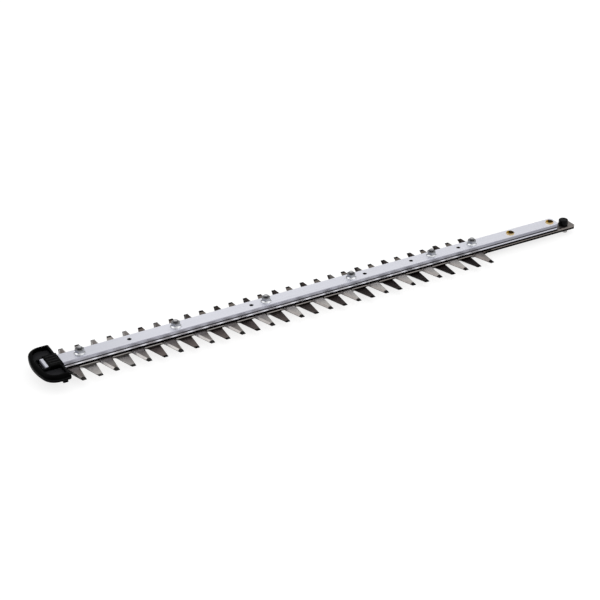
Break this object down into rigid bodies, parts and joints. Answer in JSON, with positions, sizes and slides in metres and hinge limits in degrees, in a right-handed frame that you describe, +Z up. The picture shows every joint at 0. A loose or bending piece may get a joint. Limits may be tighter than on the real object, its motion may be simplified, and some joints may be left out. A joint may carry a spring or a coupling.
{
  "type": "hedge trimmer blade",
  "caption": "Double-sided reciprocating hedge trimmer cutter: toothed steel blades that slide under a grooved aluminium guide bar, with a moulded tip guard and drive pins.",
  "frame": {"origin": "midway between the two gear case bolt holes, on the top face of the guide bar", "axes": "+X along the guide bar towards the drive end, +Y to the side, +Z up out of the bar's top face"},
  "size_m": [0.7643, 0.0752, 0.0298],
  "materials": {
    "bar_aluminium": "satin anodised",
    "guard_plastic": "semi-gloss moulded",
    "blade_steel": "satin ground",
    "screw_zinc": "bright zinc",
    "nut_zinc": "bright zinc",
    "pin_steel": "hardened, oiled",
    "roller_black": "black oxide satin",
    "collar_yellow_zinc": "yellow zinc"
  },
  "bodies": {
    "guide": {"guide_bar": "bar_aluminium", "tip_guard": "guard_plastic", "blade_screw_1": "screw_zinc", "blade_nut_1": "nut_zinc", "blade_screw_2": "screw_zinc", "blade_nut_2": "nut_zinc", "blade_screw_3": "screw_zinc", "blade_nut_3": "nut_zinc", "blade_screw_4": "screw_zinc", "blade_nut_4": "nut_zinc", "blade_screw_5": "screw_zinc", "blade_nut_5": "nut_zinc", "blade_screw_6": "screw_zinc", "blade_nut_6": "nut_zinc", "mount_collar_1": "collar_yellow_zinc", "mount_collar_2": "collar_yellow_zinc"},
    "upper_blade": {"upper_blade": "blade_steel", "upper_drive_pin": "pin_steel"},
    "lower_blade": {"lower_blade": "blade_steel", "lower_drive_pin": "pin_steel"},
    "roller": {"drive_roller": "roller_black"}
  },
  "joints": [
    {"name": "upper_blade_slide", "type": "slide", "parent": "guide", "child": "upper_blade", "axis": [1, 0, 0], "range_m": [-0.007, 0.007]},
    {"name": "lower_blade_slide", "type": "slide", "parent": "guide", "child": "lower_blade", "axis": [1, 0, 0], "range_m": [-0.007, 0.007]},
    {"name": "drive_roller_spin", "type": "hinge", "parent": "upper_blade", "child": "roller", "pos_m": [0.0565, 0, -0.006], "axis": [0, 0, 1], "continuous": true}
  ]
}
